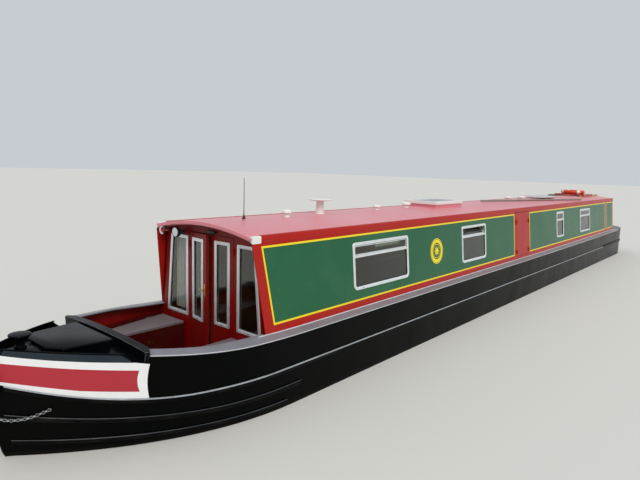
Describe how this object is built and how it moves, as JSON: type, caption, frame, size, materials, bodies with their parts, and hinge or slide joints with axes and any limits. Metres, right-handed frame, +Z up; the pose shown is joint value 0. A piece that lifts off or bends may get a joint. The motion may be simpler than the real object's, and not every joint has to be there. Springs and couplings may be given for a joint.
{
  "type": "narrowboat",
  "caption": "Steel canal narrowboat with a long cabin, open front well deck, hinged doors and lids, sliding hatch, rudder with tiller and propeller.",
  "frame": {"origin": "middle of the bounding box on the underside of the flat base plate", "axes": "+X to the bow, +Y to port, +Z up"},
  "size_m": [19.073, 2.1146, 2.8474],
  "materials": {
    "hull_black": "gloss bitumen black",
    "deck_grey": "non-slip grey deck paint",
    "cabin_red": "gloss coach enamel, red",
    "cabin_green": "gloss coach enamel, green with red border and yellow line",
    "dark_red": "satin dark red paint",
    "bottom_black": "bitumen below the water",
    "window_alloy": "satin anodised frames with clear glass",
    "brass": "polished",
    "engine_iron": "painted iron block",
    "bronze": "cast",
    "white_paint": "white",
    "black_plastic": "black",
    "solar_glass": "framed panel",
    "ring_orange": "orange with white bands",
    "rope_black": "woven rope pad",
    "boards": "painted boards",
    "chrome": "polished",
    "pole_wood": "weathered painted pole"
  },
  "bodies": {
    "hull": {"base_plate": "bottom_black", "hull_bow": "hull_black", "hull_side_port": "hull_black", "hull_side_starboard": "hull_black", "hull_stern": "hull_black", "gunwale_port": "deck_grey", "gunwale_starboard": "deck_grey", "well_gunwale_port": "deck_grey", "well_gunwale_starboard": "deck_grey", "foredeck": "hull_black", "coaming": "hull_black", "bow_stud": "hull_black", "bow_fender": "rope_black", "well_floor": "boards", "bench_port": "dark_red", "bench_starboard": "dark_red", "cabin_side_port": "cabin_green", "cabin_side_starboard": "cabin_green", "window_port_1": "window_alloy", "window_port_2": "window_alloy", "window_port_3": "window_alloy", "window_port_4": "window_alloy", "window_starboard_1": "window_alloy", "window_starboard_2": "window_alloy", "window_starboard_3": "window_alloy", "window_starboard_4": "window_alloy", "cabin_roof": "cabin_red", "cabin_floor": "boards", "front_bulkhead": "dark_red", "front_window_starboard": "window_alloy", "front_window_port": "window_alloy", "rear_bulkhead": "cabin_red", "stern_deck": "deck_grey", "engine": "engine_iron", "tv_aerial": "white_paint", "whip_aerial": "black_plastic", "solar_panel": "solar_glass", "boat_pole": "pole_wood", "headlamp": "chrome", "horn": "chrome"},
    "front_door_port": {"front_door_port": "dark_red", "front_door_glass_port": "window_alloy"},
    "front_door_starboard": {"front_door_starboard": "dark_red", "front_door_glass_starboard": "window_alloy"},
    "rear_door_port": {"rear_door_port": "cabin_red"},
    "rear_door_starboard": {"rear_door_starboard": "cabin_red"},
    "side_hatch_fore": {"side_hatch_fore": "cabin_red"},
    "side_hatch_aft": {"side_hatch_aft": "cabin_red"},
    "slide_hatch": {"slide_hatch": "dark_red", "life_ring": "ring_orange"},
    "skylight_lid": {"skylight_lid": "white_paint"},
    "foredeck_lid": {"foredeck_lid": "hull_black"},
    "bench_lid_port": {"bench_lid_port": "boards"},
    "bench_lid_starboard": {"bench_lid_starboard": "boards"},
    "propeller": {"propeller": "bronze"},
    "rudder": {"rudder": "bottom_black", "tiller": "brass"}
  },
  "joints": [
    {"name": "front_door_port_hinge", "type": "hinge", "parent": "hull", "child": "front_door_port", "pos_m": [7.1755, 0.42, 1.43], "axis": [0, 0, 1], "range_deg": [0, 85]},
    {"name": "front_door_starboard_hinge", "type": "hinge", "parent": "hull", "child": "front_door_starboard", "pos_m": [7.1755, -0.345, 1.43], "axis": [0, 0, -1], "range_deg": [-9.5, 85]},
    {"name": "rear_door_port_hinge", "type": "hinge", "parent": "hull", "child": "rear_door_port", "pos_m": [-7.8485, 0.33, 1.85], "axis": [0, 0, -1], "range_deg": [0, 95]},
    {"name": "rear_door_starboard_hinge", "type": "hinge", "parent": "hull", "child": "rear_door_starboard", "pos_m": [-7.8485, -0.33, 1.85], "axis": [0, 0, 1], "range_deg": [0, 95]},
    {"name": "side_hatch_fore_hinge", "type": "hinge", "parent": "hull", "child": "side_hatch_fore", "pos_m": [0.3435, 0.88595, 1.8], "axis": [0, 0.0955, -0.9954], "range_deg": [0, 100]},
    {"name": "side_hatch_aft_hinge", "type": "hinge", "parent": "hull", "child": "side_hatch_aft", "pos_m": [-0.3265, 0.88595, 1.8], "axis": [0, -0.0955, 0.9954], "range_deg": [0, 100]},
    {"name": "slide_hatch_slide", "type": "slide", "parent": "hull", "child": "slide_hatch", "axis": [1, 0, 0], "range_m": [-0.73, 0]},
    {"name": "skylight_hinge", "type": "hinge", "parent": "hull", "child": "skylight_lid", "pos_m": [2.1535, -0.33, 2.433], "axis": [1, 0, 0], "range_deg": [0, 60]},
    {"name": "foredeck_lid_hinge", "type": "hinge", "parent": "hull", "child": "foredeck_lid", "pos_m": [8.4575, 0, 1.41705], "axis": [0, -1, 0], "range_deg": [0, 90]},
    {"name": "bench_lid_port_hinge", "type": "hinge", "parent": "hull", "child": "bench_lid_port", "pos_m": [7.1839, 0.87677, 1.168], "axis": [-0.9805, 0.1963, 0], "range_deg": [0, 68]},
    {"name": "bench_lid_starboard_hinge", "type": "hinge", "parent": "hull", "child": "bench_lid_starboard", "pos_m": [7.1839, -0.87677, 1.168], "axis": [0.9805, 0.1963, 0], "range_deg": [0, 68]},
    {"name": "propeller_spin", "type": "hinge", "parent": "hull", "child": "propeller", "pos_m": [-8.7965, 0, 0.28], "axis": [1, 0, 0], "continuous": true},
    {"name": "rudder_turn", "type": "hinge", "parent": "hull", "child": "rudder", "pos_m": [-9.2565, 0, 1], "axis": [0, 0, 1], "range_deg": [-35, 35]}
  ]
}
